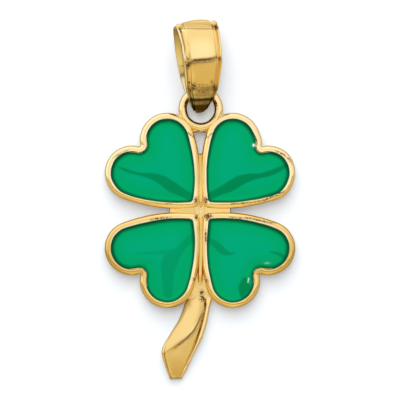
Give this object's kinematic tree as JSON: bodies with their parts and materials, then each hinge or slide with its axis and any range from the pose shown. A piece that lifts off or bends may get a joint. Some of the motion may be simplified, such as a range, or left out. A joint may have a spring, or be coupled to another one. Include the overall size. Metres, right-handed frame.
{
  "type": "four leaf clover pendant",
  "caption": "Gold clover pendant with heart-shaped green enamel leaves, a curved stem, a soldered ring and a tapered bail; it lies on its flat back.",
  "frame": {"origin": "the clover's centre, where the four leaves meet, on the flat back that it lies on", "axes": "+Z out of the enamelled face, +Y from the stem to the bail, +X to the right seen from the front"},
  "size_m": [0.013, 0.0244, 0.0035],
  "materials": {
    "gold": "polished",
    "enamel": "gloss"
  },
  "bodies": {
    "root": {"clover_frame": "gold", "enamel_upper_left": "enamel", "enamel_upper_right": "enamel", "enamel_lower_left": "enamel", "enamel_lower_right": "enamel", "bail": "gold"}
  },
  "joints": []
}
